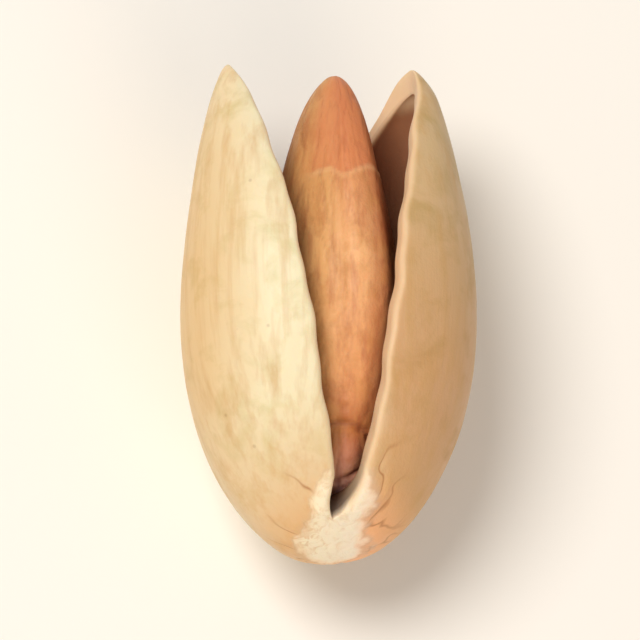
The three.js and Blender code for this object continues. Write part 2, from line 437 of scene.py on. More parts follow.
scar_filled = add(
    skin, "ShaderNodeMix", {0: (scar_mark, "Fac"), 6: (folded, 2), 7: (scar_tint, 2)}, data_type="RGBA")
scarred = add(
    skin, "ShaderNodeMix", {0: outline_broken, 6: (scar_filled, 2), 7: linear("#9a6232")}, data_type="RGBA")

# The rim is the pale pinkish break of the wall. The inner wall is smooth and tan-brown, painted darker as the
# shade inside the hollow, and the broken wall is painted dark brown where the split ends, as the shade deep
# in the split.
rim_share = add(skin, "ShaderNodeMath", {0: (rim_mark, "Fac"), 1: 0.85}, operation="MULTIPLY")
# On the right half the rim is also painted darker, as shade.
rim_colour = add(
    skin, "ShaderNodeMix", {0: shaded_side_share, 6: linear("#f1d7b2"), 7: linear("#f0cba4")}, data_type="RGBA")
rimmed = add(skin, "ShaderNodeMix", {0: rim_share, 6: (scarred, 2), 7: (rim_colour, 2)}, data_type="RGBA")
lining_and_shade = add(skin, "ShaderNodeMix", {0: clouds, 6: linear("#a87350"), 7: linear("#7a4a32")}, data_type="RGBA")
inner_wall = add(skin, "ShaderNodeMapRange", {0: (inside, "Fac"), 1: 0.9, 2: 1.0})
not_rim = add(skin, "ShaderNodeMath", {0: 1.0, 1: rim_share}, operation="SUBTRACT")
inside_share = add(skin, "ShaderNodeMath", {0: inner_wall, 1: not_rim}, operation="MULTIPLY")
lined_and_shaded = add(skin, "ShaderNodeMix", {0: inside_share, 6: (rimmed, 2), 7: (lining_and_shade, 2)}, data_type="RGBA")
# Painted shade: near-black brown on the broken wall where the split ends.
split_shade_share = add(skin, "ShaderNodeMath", {0: (split_shade_mark, "Fac"), 1: 0.92}, operation="MULTIPLY")
shell_colour = add(
    skin, "ShaderNodeMix", {0: split_shade_share, 6: (lined_and_shaded, 2), 7: linear("#3c1b10")}, data_type="RGBA")

# Fine tooth of the dry surface, about 0.15 mm, and the grain's shallow furrows.
tooth = add(
    skin, "ShaderNodeTexNoise",
    {"Vector": (where, "Object"), "Scale": 1 / (0.16 * MM), "Detail": 3.0, "Roughness": 0.6})
tooth_bump = add(skin, "ShaderNodeBump", {"Height": tooth, "Distance": 0.018 * MM, "Strength": 0.8})
grain_bump = add(
    skin, "ShaderNodeBump", {"Height": grain, "Distance": 0.05 * MM, "Strength": 0.7, "Normal": tooth_bump})
scar_height = add(skin, "ShaderNodeMath", {0: fibre, 1: (scar_mark, "Fac")}, operation="MULTIPLY")
scar_bump = add(
    skin, "ShaderNodeBump", {"Height": scar_height, "Distance": 0.07 * MM, "Strength": 0.6,
        "Normal": grain_bump})
satin = add(skin, "ShaderNodeMapRange", {0: mottle, 1: 0.3, 2: 0.7, 3: 0.44, 4: 0.6})
dull_scar = add(skin, "ShaderNodeMix", {0: (scar_mark, "Fac"), 2: satin, 3: 0.9}, data_type="FLOAT")
shell_surface = add(
    skin, "ShaderNodeBsdfPrincipled",
    {"Base Color": (shell_colour, 2), "Roughness": dull_scar, "IOR": 1.5, "Specular IOR Level": 0.42,
        "Subsurface Weight": 0.22, "Subsurface Radius": (1.0, 0.55, 0.28), "Subsurface Scale": 0.7 * MM,
        "Normal": scar_bump})
add(skin, "ShaderNodeOutputMaterial", {"Surface": shell_surface})

# The shell's relief follows its surface: slow swells, grain furrows along the nut, folds that fan out from
# the stalk, and the scar's ragged, slightly raised edge.
relief = bpy.data.node_groups.new("Shell relief", "GeometryNodeTree")
relief.interface.new_socket("Shell", in_out="INPUT", socket_type="NodeSocketGeometry")
relief_sizes = {"Swell mm": 0.2, "Furrow mm": 0.06, "Fold mm": 0.045, "Scar edge mm": 0.025}
for name in relief_sizes:
    relief.interface.new_socket(name, in_out="INPUT", socket_type="NodeSocketFloat")
relief.interface.new_socket("Skin", in_out="INPUT", socket_type="NodeSocketMaterial")
relief.interface.new_socket("Shell", in_out="OUTPUT", socket_type="NodeSocketGeometry")
given = add(relief, "NodeGroupInput")
position = add(relief, "GeometryNodeInputPosition")
in_mm = add(relief, "ShaderNodeVectorMath", {0: position, "Scale": 1000.0}, operation="SCALE")
inside_part = add(relief, "GeometryNodeInputNamedAttribute", {"Name": "inside"}, data_type="FLOAT")
outside = add(relief, "ShaderNodeMapRange", {0: inside_part, 1: 0.0, 2: 0.15, 3: 1.0, 4: 0.0})
rim_part = add(relief, "GeometryNodeInputNamedAttribute", {"Name": "rim"}, data_type="FLOAT")
off_rim = add(relief, "ShaderNodeMath", {0: 1.0, 1: rim_part}, operation="SUBTRACT")
fan_part = add(relief, "GeometryNodeInputNamedAttribute", {"Name": "scar_fan"}, data_type="FLOAT_VECTOR")
gap_part = add(relief, "GeometryNodeInputNamedAttribute", {"Name": "scar_gap"}, data_type="FLOAT")

swell_map = add(relief, "ShaderNodeVectorMath", {0: in_mm, 1: (0.3, 0.16, 0.3)}, operation="MULTIPLY")
swell_noise = add(
    relief, "ShaderNodeTexNoise", {"Vector": swell_map, "W": 3.1, "Scale": 1.0, "Detail": 1.5},
    noise_dimensions="4D")
swell = add(relief, "ShaderNodeMath", {0: swell_noise, 1: 0.5}, operation="SUBTRACT")
swell_mm = add(relief, "ShaderNodeMath", {0: swell, 1: (given, "Swell mm")}, operation="MULTIPLY")

furrow_map = add(relief, "ShaderNodeVectorMath", {0: in_mm, 1: (1.1, 0.14, 1.1)}, operation="MULTIPLY")
furrow_noise = add(
    relief, "ShaderNodeTexNoise", {"Vector": furrow_map, "W": 7.7, "Scale": 1.0, "Detail": 3.0},
    noise_dimensions="4D")
furrow = add(relief, "ShaderNodeMath", {0: furrow_noise, 1: 0.5}, operation="SUBTRACT")
furrow_mm = add(relief, "ShaderNodeMath", {0: furrow, 1: (given, "Furrow mm")}, operation="MULTIPLY")
furrow_off_rim = add(relief, "ShaderNodeMath", {0: furrow_mm, 1: off_rim}, operation="MULTIPLY")

# Folds: broader valleys along the same lines as the dark ones in the material.
fold_map = add(relief, "ShaderNodeVectorMath", {0: fan_part, 1: FOLDS_PER_MM}, operation="MULTIPLY")
fold_noise = add(
    relief, "ShaderNodeTexNoise",
    {"Vector": fold_map, "W": FOLD_SEED, "Scale": 1.0, "Detail": 2.0, "Distortion": FOLD_BEND},
    noise_dimensions="4D")
fold_centre = add(relief, "ShaderNodeMath", {0: fold_noise, 1: 0.5}, operation="SUBTRACT")
fold_width = add(relief, "ShaderNodeMath", {0: fold_centre}, operation="ABSOLUTE")
fold_line = add(
    relief, "ShaderNodeMapRange", {0: fold_width, 1: 0.0, 2: 0.07, 3: 1.0, 4: 0.0},
    interpolation_type="SMOOTHSTEP")
fold_rise = add(
    relief, "ShaderNodeMapRange", {0: gap_part, 1: -0.1, 2: 0.35}, interpolation_type="SMOOTHSTEP")
fold_fade = add(relief, "ShaderNodeMapRange", {0: gap_part, 1: 0.35, 2: 1.7, 3: 1.0, 4: 0.0})
fold_reach = add(relief, "ShaderNodeMath", {0: fold_rise, 1: fold_fade}, operation="MULTIPLY")
fold = add(relief, "ShaderNodeMath", {0: fold_line, 1: fold_reach}, operation="MULTIPLY")
fold_out = add(relief, "ShaderNodeMath", {0: fold, 1: outside}, operation="MULTIPLY")
fold_mm = add(relief, "ShaderNodeMath", {0: fold_out, 1: (given, "Fold mm")}, operation="MULTIPLY")

# The scar's outline wanders by about a quarter of its radius.
SCAR_RAGGEDNESS = 1.7
edge_noise = add(
    relief, "ShaderNodeTexNoise", {"Vector": in_mm, "W": 4.4, "Scale": 1.1, "Detail": 4.0},
    noise_dimensions="4D")
edge_wander = add(relief, "ShaderNodeMath", {0: edge_noise, 1: 0.5}, operation="SUBTRACT")
edge_gap = add(
    relief, "ShaderNodeMath", {0: edge_wander, 1: SCAR_RAGGEDNESS, 2: gap_part}, operation="MULTIPLY_ADD")
scar_field = add(
    relief, "ShaderNodeMapRange", {0: edge_gap, 1: -0.35, 2: 0.3, 3: 1.0, 4: 0.0},
    interpolation_type="SMOOTHSTEP")
on_wall = add(relief, "ShaderNodeMapRange", {0: inside_part, 1: 0.5, 2: 0.9, 3: 1.0, 4: 0.0})
scar_out_field = add(relief, "ShaderNodeMath", {0: scar_field, 1: on_wall}, operation="MULTIPLY")
edge_near = add(relief, "ShaderNodeMath", {0: edge_gap}, operation="ABSOLUTE")
edge_ridge = add(
    relief, "ShaderNodeMapRange", {0: edge_near, 1: 0.0, 2: 0.22, 3: 1.0, 4: 0.0},
    interpolation_type="SMOOTHSTEP")
edge_out = add(relief, "ShaderNodeMath", {0: edge_ridge, 1: outside}, operation="MULTIPLY")
edge_mm = add(relief, "ShaderNodeMath", {0: edge_out, 1: (given, "Scar edge mm")}, operation="MULTIPLY")

# Swells and furrows die out towards the thin tips, over the last 2 mm or so.
place_parts = add(relief, "ShaderNodeSeparateXYZ", {0: in_mm})
off_tips = add(
    relief, "ShaderNodeMapRange", {0: (place_parts, 1), 1: 7.6, 2: 9.2, 3: 1.0, 4: 0.0},
    interpolation_type="SMOOTHSTEP")
raised = add(relief, "ShaderNodeMath", {0: swell_mm, 1: furrow_off_rim}, operation="ADD")
raised_off_tips = add(relief, "ShaderNodeMath", {0: raised, 1: off_tips}, operation="MULTIPLY")
raised_edge = add(relief, "ShaderNodeMath", {0: raised_off_tips, 1: edge_mm}, operation="ADD")
carved = add(relief, "ShaderNodeMath", {0: raised_edge, 1: fold_mm}, operation="SUBTRACT")
in_metres = add(relief, "ShaderNodeMath", {0: carved, 1: MM}, operation="MULTIPLY")
surface_normal = add(relief, "GeometryNodeInputNormal")
push = add(relief, "ShaderNodeVectorMath", {0: surface_normal, "Scale": in_metres}, operation="SCALE")
swollen = add(relief, "GeometryNodeSetPosition", {"Geometry": (given, "Shell"), "Offset": push})
# Nothing reaches below the table top.
above_ground = add(relief, "ShaderNodeVectorMath", {0: position, 1: (-1.0, -1.0, 0.0)}, operation="MAXIMUM")
shaped = add(relief, "GeometryNodeSetPosition", {"Geometry": swollen, "Position": above_ground})
fold_seen = add(relief, "ShaderNodeMath", {0: fold_reach, 1: outside}, operation="MULTIPLY")
with_fold = add(
    relief, "GeometryNodeStoreNamedAttribute", {"Geometry": shaped, "Name": "crease", "Value": fold_seen},
    data_type="FLOAT")
with_scar = add(
    relief, "GeometryNodeStoreNamedAttribute",
    {"Geometry": with_fold, "Name": "scar", "Value": scar_out_field}, data_type="FLOAT")
real = add(relief, "GeometryNodeRealizeInstances", {0: with_scar})
finished = add(relief, "GeometryNodeSetMaterial", {"Geometry": real, "Material": (given, "Skin")})
add(relief, "NodeGroupOutput", {0: finished})


def grow(piece, tree, sizes):
    """Runs a tree on a piece with its named sizes, and keeps the result as the piece's plain mesh."""
    modifier = piece.modifiers.new(tree.name, "NODES")
    modifier.node_group = tree
    for item in tree.interface.items_tree:
        if item.in_out == "INPUT" and item.name in sizes:
            modifier[item.identifier] = sizes[item.name]
    bpy.context.view_layer.update()
    evaluated = piece.evaluated_get(bpy.context.evaluated_depsgraph_get())
    grown = bpy.data.meshes.new_from_object(evaluated)
    piece.modifiers.clear()
    piece.data = grown


grow(shell, relief, {**relief_sizes, "Skin": shell_skin})
shell.data.shade_smooth()
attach(shell, "root")
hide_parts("shell")

# ------------------------------------------------------------ kernel
# The seed in its papery skin, loose in the shell and nearly as long as the hollow. The skin has dried tight
# over the seed, so it is ridged lengthwise and puckered round the spot at the stalk end where it hung.

kernel_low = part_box("kernel")[0]

# Dry seed skin: thin as tissue, orange-brown on the ridge, golden on one flank with painted light, rosy on
# the other with painted shade, wine-red below and painted darker there as shade, mauve at the stalk end, with
# painted shade in the wrinkles and a satin sheen that breaks up over them.
kernel_skin = bpy.data.materials.new("dry_papery_seed_skin")
kernel_skin.use_nodes = True
skin = kernel_skin.node_tree
skin.nodes.clear()
where = add(skin, "ShaderNodeTexCoord")
kernel_along = add(skin, "ShaderNodeAttribute", attribute_name="along")
kernel_around = add(skin, "ShaderNodeAttribute", attribute_name="around")
crease_shade_mark = add(skin, "ShaderNodeAttribute", attribute_name="furrow")
around_parts = add(skin, "ShaderNodeSeparateXYZ", {0: (kernel_around, "Vector")})

# Its colour changes along the seed and round it.
length_tint = add(skin, "ShaderNodeValToRGB", {0: (kernel_along, "Fac")})
ramp = length_tint.color_ramp
ramp.elements[0].position = 0.04
ramp.elements[0].color = linear("#c08c84")
ramp.elements[1].position = 1.0
ramp.elements[1].color = linear("#6e4a30")
for place, code in (
    (0.1, "#d0927a"), (0.17, "#b06634"), (0.26, "#e39f69"), (0.55, "#f1b882"), (0.78, "#dd9460"),
    (0.93, "#b3724e"), (0.985, "#b07355"),
):
    ramp.elements.new(place).color = linear(code)
# Golden left flank and rosy right flank: real tints of the skin, with painted light on the golden one and
# painted shade on the rosy one.
rosy_shaded_side = add(skin, "ShaderNodeMapRange", {0: (around_parts, 0), 1: 0.15, 2: 0.55, 3: 0.0, 4: 0.9})
gold_lit_side = add(skin, "ShaderNodeMapRange", {0: (around_parts, 0), 1: -0.05, 2: -0.45, 3: 0.0, 4: 0.7})
gilded_and_lit = add(skin, "ShaderNodeMix", {0: gold_lit_side, 6: length_tint, 7: linear("#dfab6c")}, data_type="RGBA")
rosy_noise = add(
    skin, "ShaderNodeTexNoise", {"Vector": (where, "Object"), "Scale": 1 / (3 * MM), "Detail": 3.0})
rosy_broken = add(skin, "ShaderNodeMapRange", {0: rosy_noise, 1: 0.35, 2: 0.6, 3: 0.55, 4: 1.1})
rosy_and_shade = add(skin, "ShaderNodeMath", {0: rosy_shaded_side, 1: rosy_broken}, operation="MULTIPLY")
ridge_to_flank = add(skin, "ShaderNodeMix", {0: rosy_and_shade, 6: (gilded_and_lit, 2), 7: linear("#a2522f")}, data_type="RGBA")
# Wine-red below: the skin's own tint, darkened further as painted shade under the kernel.
underside_shade = add(skin, "ShaderNodeMapRange", {0: (around_parts, 1), 1: 0.15, 2: -0.5, 3: 0.0, 4: 0.8})
wine_and_shade = add(
    skin, "ShaderNodeMix", {0: underside_shade, 6: (ridge_to_flank, 2), 7: linear("#9a4a44")}, data_type="RGBA")
blotch = add(
    skin, "ShaderNodeTexNoise",
    {"Vector": (where, "Object"), "Scale": 1 / (1.3 * MM), "Detail": 5.0, "Roughness": 0.65})
blotch_share = add(skin, "ShaderNodeMapRange", {0: blotch, 1: 0.46, 2: 0.7, 3: 0.0, 4: 0.6})
blotched = add(skin, "ShaderNodeMix", {0: blotch_share, 6: (wine_and_shade, 2), 7: linear("#c98a4e")}, data_type="RGBA")
# Veins run lengthwise, about 0.4 mm apart and 3 mm long.
VEINS_PER_MM = (2.4, 0.33, 2.4)
vein_scale = tuple(veins / MM for veins in VEINS_PER_MM)
vein_map = add(skin, "ShaderNodeMapping", {"Vector": (where, "Object"), "Scale": vein_scale})
vein = add(skin, "ShaderNodeTexNoise", {"Vector": vein_map, "Scale": 1.0, "Detail": 4.0, "Roughness": 0.6})
vein_share = add(skin, "ShaderNodeMapRange", {0: vein, 1: 0.46, 2: 0.68, 3: 0.0, 4: 0.45})
veined = add(skin, "ShaderNodeMix", {0: vein_share, 6: (blotched, 2), 7: linear("#b2643f")}, data_type="RGBA")
# The bare end beyond the torn outer layer, that layer's pale edge, and painted shade in the wrinkles and the
# moat.
cap_mark = add(skin, "ShaderNodeAttribute", attribute_name="cap")
cap_parts = add(skin, "ShaderNodeSeparateXYZ", {0: (cap_mark, "Vector")})
cap_share = add(skin, "ShaderNodeMath", {0: (cap_parts, 0), 1: 0.6}, operation="MULTIPLY")
capped = add(skin, "ShaderNodeMix", {0: cap_share, 6: (veined, 2), 7: linear("#dc8556")}, data_type="RGBA")
edge_share = add(skin, "ShaderNodeMath", {0: (cap_parts, 1), 1: 0.35}, operation="MULTIPLY")
edged = add(skin, "ShaderNodeMix", {0: edge_share, 6: (capped, 2), 7: linear("#f7c391")}, data_type="RGBA")
crease_shade_share = add(skin, "ShaderNodeMath", {0: (crease_shade_mark, "Fac"), 1: 0.5}, operation="MULTIPLY")
kernel_colour = add(
    skin, "ShaderNodeMix", {0: crease_shade_share, 6: (edged, 2), 7: linear("#8b4630")}, data_type="RGBA")
crinkle = add(
    skin, "ShaderNodeTexNoise",
    {"Vector": (where, "Object"), "Scale": 1 / (0.22 * MM), "Detail": 4.0, "Roughness": 0.65})
crinkle_bump = add(skin, "ShaderNodeBump", {"Height": crinkle, "Distance": 0.045 * MM, "Strength": 0.7})
vein_bump = add(
    skin, "ShaderNodeBump", {"Height": vein, "Distance": 0.05 * MM, "Strength": 0.6, "Normal": crinkle_bump})
kernel_satin = add(skin, "ShaderNodeMapRange", {0: blotch, 1: 0.3, 2: 0.7, 3: 0.4, 4: 0.62})
kernel_surface = add(
    skin, "ShaderNodeBsdfPrincipled",
    {"Base Color": (kernel_colour, 2), "Roughness": kernel_satin, "IOR": 1.46, "Specular IOR Level": 0.45,
        "Subsurface Weight": 0.2, "Subsurface Radius": (1.0, 0.4, 0.2), "Subsurface Scale": 0.6 * MM,
        "Normal": vein_bump})
add(skin, "ShaderNodeOutputMaterial", {"Surface": kernel_surface})

# The kernel's form follows a rule from end to end: a ball drawn out along the nut, with its width and its
# heights above and below the axis given along the length, then ridges, wrinkles and the hanging spot.
BASE_REACH = 0.25
KEEL_TURN = 0.44
KEEL_WIDTH = 0.6
SPOT_CENTRE = (-0.1, 2.3, 2.5)
SPOT_SQUASH = (0.8, 0.85, 0.6)
MOAT_RADIUS = 0.95
form = bpy.data.node_groups.new("Kernel form", "GeometryNodeTree")
form.interface.new_socket("Empty", in_out="INPUT", socket_type="NodeSocketGeometry")
kernel_sizes = {
    "Length mm": 17.75, "Half width mm": 3.3, "Upper mm": 4.25, "Lower mm": 4.7, "Tip rise mm": 1.4,
    "Lean mm": 0.4, "Keel mm": 0.4, "Ridge mm": 0.22, "Wrinkle mm": 0.03, "Cap mm": 0.07,
    "Pucker mm": 0.14, "Spot mm": 0.22}
for name in kernel_sizes:
    form.interface.new_socket(name, in_out="INPUT", socket_type="NodeSocketFloat")
form.interface.new_socket("Start", in_out="INPUT", socket_type="NodeSocketVector")
form.interface.new_socket("Skin", in_out="INPUT", socket_type="NodeSocketMaterial")
form.interface.new_socket("Kernel", in_out="OUTPUT", socket_type="NodeSocketGeometry")
given = add(form, "NodeGroupInput")
ball = add(form, "GeometryNodeMeshUVSphere", {"Segments": 200, "Rings": 190, "Radius": 1.0})
ball_point = add(form, "ShaderNodeSeparateXYZ", {0: add(form, "GeometryNodeInputPosition")})
ball_share = add(form, "ShaderNodeMath", {0: (ball_point, 2), 1: 0.5, 2: 0.5}, operation="MULTIPLY_ADD")
ball_radius = add(form, "ShaderNodeCombineXYZ", {0: (ball_point, 0), 1: (ball_point, 1)})
ball_width = add(form, "ShaderNodeVectorMath", {0: ball_radius}, operation="LENGTH")
direction = add(form, "ShaderNodeVectorMath", {0: ball_radius}, operation="NORMALIZE")
direction_parts = add(form, "ShaderNodeSeparateXYZ", {0: direction})

# Outlines: each is a share of the drawn-out ball's own size, from the stalk end to the tip.
sizes = {}
for name, places in (
    ("Half width mm", ((0, 0.9), (0.12, 0.92), (0.3, 0.98), (0.45, 0.94), (0.6, 0.82), (0.72, 0.74),
                       (0.84, 0.71), (0.94, 0.7), (1, 0.66))),
    ("Upper mm", ((0, 0.95), (0.12, 0.9), (0.3, 0.93), (0.5, 0.96), (0.7, 0.86), (0.86, 0.74), (1, 0.7))),
    ("Lower mm", ((0, 0.8), (0.2, 0.92), (0.45, 1.0), (0.65, 0.95), (0.82, 0.8), (1, 0.6))),
):
    outline = add(form, "ShaderNodeFloatCurve", {"Value": ball_share})
    curve = outline.mapping.curves[0]
    curve.points[0].location = places[0]
    curve.points[1].location = places[-1]
    for place in places[1:-1]:
        curve.points.new(*place)
    outline.mapping.update()
    share = add(form, "ShaderNodeMath", {0: outline, 1: (ball_width, "Value")}, operation="MULTIPLY")
    sizes[name] = add(form, "ShaderNodeMath", {0: share, 1: (given, name)}, operation="MULTIPLY")

is_upper = add(form, "ShaderNodeMath", {0: (direction_parts, 1), 1: 0.0}, operation="GREATER_THAN")
height_here = add(
    form, "ShaderNodeMix", {0: is_upper, 2: sizes["Lower mm"], 3: sizes["Upper mm"]}, data_type="FLOAT")
# The upper side draws in to a blunt ridge.
up_only = add(form, "ShaderNodeMath", {0: (direction_parts, 1), 1: 0.0}, operation="MAXIMUM")
draw_in = add(form, "ShaderNodeMath", {0: up_only, 1: -0.16, 2: 1.0}, operation="MULTIPLY_ADD")
x_share = add(form, "ShaderNodeMath", {0: (direction_parts, 0), 1: draw_in}, operation="MULTIPLY")
lean_mm = add(form, "ShaderNodeMath", {0: ball_share, 1: (given, "Lean mm")}, operation="MULTIPLY")
x_mm = add(
    form, "ShaderNodeMath", {0: x_share, 1: sizes["Half width mm"], 2: lean_mm}, operation="MULTIPLY_ADD")
y_mm = add(form, "ShaderNodeMath", {0: ball_share, 1: (given, "Length mm")}, operation="MULTIPLY")
share_squared = add(form, "ShaderNodeMath", {0: ball_share, 1: ball_share}, operation="MULTIPLY")
rise_mm = add(form, "ShaderNodeMath", {0: share_squared, 1: (given, "Tip rise mm")}, operation="MULTIPLY")
z_mm = add(
    form, "ShaderNodeMath", {0: (direction_parts, 1), 1: height_here, 2: rise_mm}, operation="MULTIPLY_ADD")
drawn = add(form, "ShaderNodeCombineXYZ", {0: x_mm, 1: y_mm, 2: z_mm})

# Relief, read on the ball so that it runs lengthwise: fast round the kernel, slow along it.
around_along = add(
    form, "ShaderNodeCombineXYZ", {0: (direction_parts, 0), 1: (direction_parts, 1), 2: ball_share})
ridge_map = add(form, "ShaderNodeVectorMath", {0: around_along, 1: (2.3, 2.3, 1.4)}, operation="MULTIPLY")
ridge_noise = add(
    form, "ShaderNodeTexNoise",
    {"Vector": ridge_map, "W": 2.6, "Scale": 1.0, "Detail": 1.5, "Distortion": 0.2}, noise_dimensions="4D")
ridges = add(form, "ShaderNodeMath", {0: ridge_noise, 1: 0.5}, operation="SUBTRACT")
ridges_mm = add(form, "ShaderNodeMath", {0: ridges, 1: (given, "Ridge mm")}, operation="MULTIPLY")
wrinkle_map = add(form, "ShaderNodeVectorMath", {0: around_along, 1: (3.4, 3.4, 7.0)}, operation="MULTIPLY")
wrinkle_noise = add(
    form, "ShaderNodeTexNoise",
    {"Vector": wrinkle_map, "W": 5.2, "Scale": 1.0, "Detail": 3.0, "Distortion": 0.5}, noise_dimensions="4D")
wrinkles = add(form, "ShaderNodeMath", {0: wrinkle_noise, 1: 0.5}, operation="SUBTRACT")
wrinkle_depth = add(form, "ShaderNodeMath", {0: wrinkles}, operation="ABSOLUTE")
wrinkle_line = add(
    form, "ShaderNodeMapRange", {0: wrinkle_depth, 1: 0.0, 2: 0.035, 3: 1.0, 4: 0.0},
    interpolation_type="SMOOTHSTEP")
wrinkle_mm = add(form, "ShaderNodeMath", {0: wrinkle_line, 1: (given, "Wrinkle mm")}, operation="MULTIPLY")

# A keel runs along the upper side, right of the middle, where two flat faces of the seed meet.
turn_here = add(
    form, "ShaderNodeMath", {0: (direction_parts, 0), 1: (direction_parts, 1)}, operation="ARCTAN2")
keel_wander = add(form, "ShaderNodeMath", {0: ridges, 1: 0.5, 2: turn_here}, operation="MULTIPLY_ADD")
from_keel = add(form, "ShaderNodeMath", {0: keel_wander, 1: KEEL_TURN}, operation="SUBTRACT")
keel_width = add(form, "ShaderNodeMath", {0: from_keel}, operation="ABSOLUTE")
keel = add(form, "ShaderNodeMapRange", {0: keel_width, 1: 0.04, 2: KEEL_WIDTH, 3: 1.0, 4: 0.0})
keel_ends = add(form, "ShaderNodeMath", {0: (ball_width, "Value"), 1: keel}, operation="MULTIPLY")
keel_mm = add(form, "ShaderNodeMath", {0: keel_ends, 1: (given, "Keel mm")}, operation="MULTIPLY")

# The skin's outer layer ends in a ragged edge across the seed, a quarter of the way down from the tip.
cap_wander = add(form, "ShaderNodeMath", {0: ridges, 1: 0.08, 2: ball_share}, operation="MULTIPLY_ADD")
cap = add(
    form, "ShaderNodeMapRange", {0: cap_wander, 1: 0.752, 2: 0.76, 3: 1.0, 4: 0.0},
    interpolation_type="SMOOTHSTEP")
cap_side = add(form, "ShaderNodeMapRange", {0: turn_here, 1: -1.0, 2: -0.65})
cap_here = add(form, "ShaderNodeMath", {0: 1.0, 1: cap}, operation="SUBTRACT")
cap_masked = add(form, "ShaderNodeMath", {0: cap_here, 1: cap_side}, operation="MULTIPLY")
cap_gap = add(form, "ShaderNodeMath", {0: cap_wander, 1: 0.75}, operation="SUBTRACT")
cap_near = add(form, "ShaderNodeMath", {0: cap_gap}, operation="ABSOLUTE")
cap_line = add(
    form, "ShaderNodeMapRange", {0: cap_near, 1: 0.0, 2: 0.012, 3: 1.0, 4: 0.0},
    interpolation_type="SMOOTHSTEP")
cap_edge = add(form, "ShaderNodeMath", {0: cap_line, 1: cap_side}, operation="MULTIPLY")
cap_marks = add(form, "ShaderNodeCombineXYZ", {0: cap_masked, 1: cap_edge})
cap_mm = add(form, "ShaderNodeMath", {0: cap_masked, 1: (given, "Cap mm")}, operation="MULTIPLY")

# Puckers cross the stalk end.
pucker_map = add(form, "ShaderNodeVectorMath", {0: around_along, 1: (1.4, 1.4, 30.0)}, operation="MULTIPLY")
pucker_noise = add(
    form, "ShaderNodeTexNoise",
    {"Vector": pucker_map, "W": 8.8, "Scale": 1.0, "Detail": 2.0, "Distortion": 0.6}, noise_dimensions="4D")
pucker = add(form, "ShaderNodeMath", {0: pucker_noise, 1: 0.5}, operation="SUBTRACT")
pucker_fade = add(form, "ShaderNodeMapRange", {0: ball_share, 1: 0.12, 2: 0.34, 3: 2.0, 4: 0.0})
pucker_here = add(form, "ShaderNodeMath", {0: pucker, 1: pucker_fade}, operation="MULTIPLY")
pucker_mm = add(form, "ShaderNodeMath", {0: pucker_here, 1: (given, "Pucker mm")}, operation="MULTIPLY")

# The hanging spot: a low knob on the upper side, with a moat round it.
from_spot = add(form, "ShaderNodeVectorMath", {0: drawn, 1: SPOT_CENTRE}, operation="SUBTRACT")
spot_squash = add(form, "ShaderNodeVectorMath", {0: from_spot, 1: SPOT_SQUASH}, operation="MULTIPLY")
spot_even = add(form, "ShaderNodeVectorMath", {0: spot_squash}, operation="LENGTH")
spot_gap = add(form, "ShaderNodeMath", {0: pucker, 1: 0.9, 2: (spot_even, "Value")}, operation="MULTIPLY_ADD")
knob = add(
    form, "ShaderNodeMapRange", {0: spot_gap, 1: 0.1, 2: 0.8, 3: 1.0, 4: 0.0},
    interpolation_type="SMOOTHSTEP")
moat_gap = add(form, "ShaderNodeMath", {0: spot_gap, 1: MOAT_RADIUS}, operation="SUBTRACT")
moat_near = add(form, "ShaderNodeMath", {0: moat_gap}, operation="ABSOLUTE")
moat = add(
    form, "ShaderNodeMapRange", {0: moat_near, 1: 0.0, 2: 0.16, 3: 1.0, 4: 0.0},
    interpolation_type="SMOOTHSTEP")
moat_on_top = add(form, "ShaderNodeMath", {0: moat, 1: is_upper}, operation="MULTIPLY")
knob_less_moat = add(form, "ShaderNodeMath", {0: moat_on_top, 1: -0.7, 2: knob}, operation="MULTIPLY_ADD")
spot_mm = add(form, "ShaderNodeMath", {0: knob_less_moat, 1: (given, "Spot mm")}, operation="MULTIPLY")

with_keel = add(form, "ShaderNodeMath", {0: ridges_mm, 1: keel_mm}, operation="ADD")
with_cap = add(form, "ShaderNodeMath", {0: with_keel, 1: cap_mm}, operation="SUBTRACT")
with_wrinkles = add(form, "ShaderNodeMath", {0: with_cap, 1: wrinkle_mm}, operation="SUBTRACT")
with_puckers = add(form, "ShaderNodeMath", {0: with_wrinkles, 1: pucker_mm}, operation="ADD")
with_spot = add(form, "ShaderNodeMath", {0: with_puckers, 1: spot_mm}, operation="ADD")
# The relief fades out at both ends, so that each closes smoothly.
off_ends = add(
    form, "ShaderNodeMapRange", {0: (ball_width, "Value"), 1: 0.0, 2: 0.35}, interpolation_type="SMOOTHSTEP")
relief_faded = add(form, "ShaderNodeMath", {0: with_spot, 1: off_ends}, operation="MULTIPLY")
# Painted shade for the wrinkle valleys and the moat round the spot, stored as the furrow mark.
wrinkle_shade_line = add(form, "ShaderNodeMath", {0: wrinkle_line, 1: 0.25}, operation="MULTIPLY")
moat_shade = add(form, "ShaderNodeMath", {0: moat_on_top, 1: 0.9}, operation="MULTIPLY")
crease_shade = add(form, "ShaderNodeMath", {0: wrinkle_shade_line, 1: moat_shade}, operation="MAXIMUM")

turned = add(form, "GeometryNodeFlipFaces", {0: (ball, "Mesh")})
with_along = add(
    form, "GeometryNodeStoreNamedAttribute", {"Geometry": turned, "Name": "along", "Value": ball_share},
    data_type="FLOAT")
with_around = add(
    form, "GeometryNodeStoreNamedAttribute",
    {"Geometry": with_along, "Name": "around", "Value": around_along}, data_type="FLOAT_VECTOR")
with_lines = add(
    form, "GeometryNodeStoreNamedAttribute", {"Geometry": with_around, "Name": "furrow", "Value": crease_shade},
    data_type="FLOAT")
with_caps = add(
    form, "GeometryNodeStoreNamedAttribute", {"Geometry": with_lines, "Name": "cap", "Value": cap_marks},
    data_type="FLOAT_VECTOR")
with_relief = add(
    form, "GeometryNodeStoreNamedAttribute", {"Geometry": with_caps, "Name": "relief", "Value": relief_faded},
    data_type="FLOAT")
drawn_out = add(form, "GeometryNodeSetPosition", {"Geometry": with_relief, "Position": drawn})
